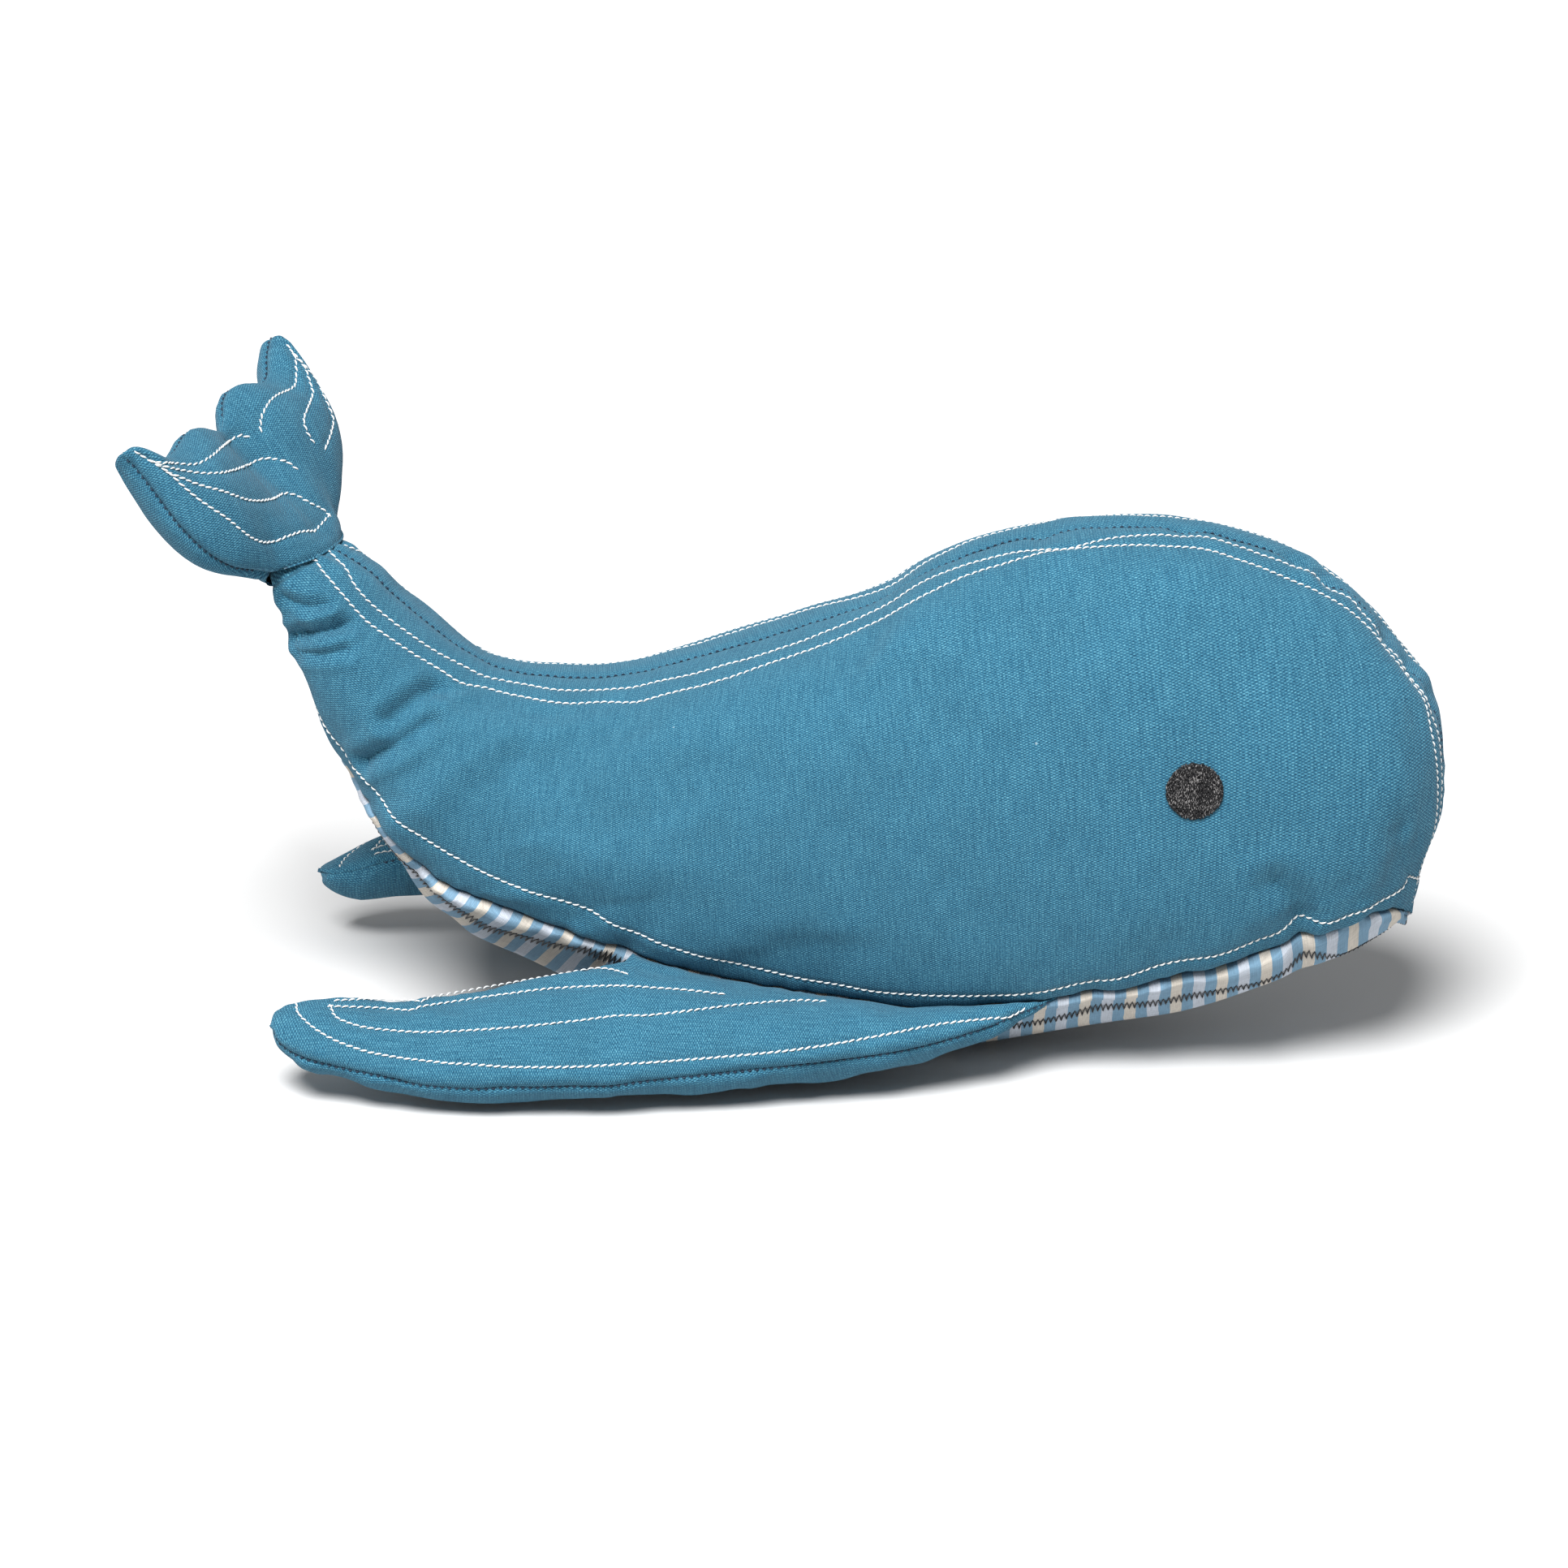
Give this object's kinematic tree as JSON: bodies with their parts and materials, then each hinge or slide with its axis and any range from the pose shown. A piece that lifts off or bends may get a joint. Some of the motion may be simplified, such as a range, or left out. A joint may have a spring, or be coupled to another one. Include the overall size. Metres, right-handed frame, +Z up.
{
  "type": "plush whale",
  "caption": "Soft toy whale sewn from blue canvas with a striped belly, swept-back fins, raised flukes and embroidered eyes.",
  "frame": {"origin": "centre of the bounding box's bottom face, under the belly, on the surface that the whale rests on", "axes": "+X towards the whale's brow, +Y to its left, +Z up"},
  "size_m": [0.4504, 0.19, 0.222],
  "materials": {
    "blue_canvas": "matte",
    "striped_cotton": "matte",
    "fibre_filling": "matte",
    "black_thread": "satin"
  },
  "bodies": {
    "body": {"right_side_panel": "blue_canvas", "left_side_panel": "blue_canvas", "belly_panel": "striped_cotton", "body_filling": "fibre_filling", "tail_filling": "fibre_filling", "right_eye": "black_thread", "left_eye": "black_thread"},
    "right_fin": {"right_fin_top_panel": "blue_canvas", "right_fin_bottom_panel": "blue_canvas", "right_fin_filling": "fibre_filling"},
    "left_fin": {"left_fin_top_panel": "blue_canvas", "left_fin_bottom_panel": "blue_canvas", "left_fin_filling": "fibre_filling"},
    "flukes": {"fluke_upper_panel": "blue_canvas", "fluke_lower_panel": "blue_canvas", "fluke_filling": "fibre_filling"}
  },
  "joints": [
    {"name": "right_fin_flap", "type": "hinge", "parent": "body", "child": "right_fin", "pos_m": [0.09634, -0.04284, 0.02784], "axis": [-0.998, -0.0031, 0.0634], "range_deg": [-5, 50], "stiffness_Nm_per_rad": 0.2},
    {"name": "left_fin_flap", "type": "hinge", "parent": "body", "child": "left_fin", "pos_m": [0.09634, 0.04284, 0.02784], "axis": [0.998, -0.0031, -0.0634], "range_deg": [-5, 50], "stiffness_Nm_per_rad": 0.2},
    {"name": "fluke_bend", "type": "hinge", "parent": "body", "child": "flukes", "pos_m": [-0.16459, 0, 0.16803], "axis": [0.342, 0.9397, 0], "range_deg": [-18, 18], "stiffness_Nm_per_rad": 0.2}
  ]
}
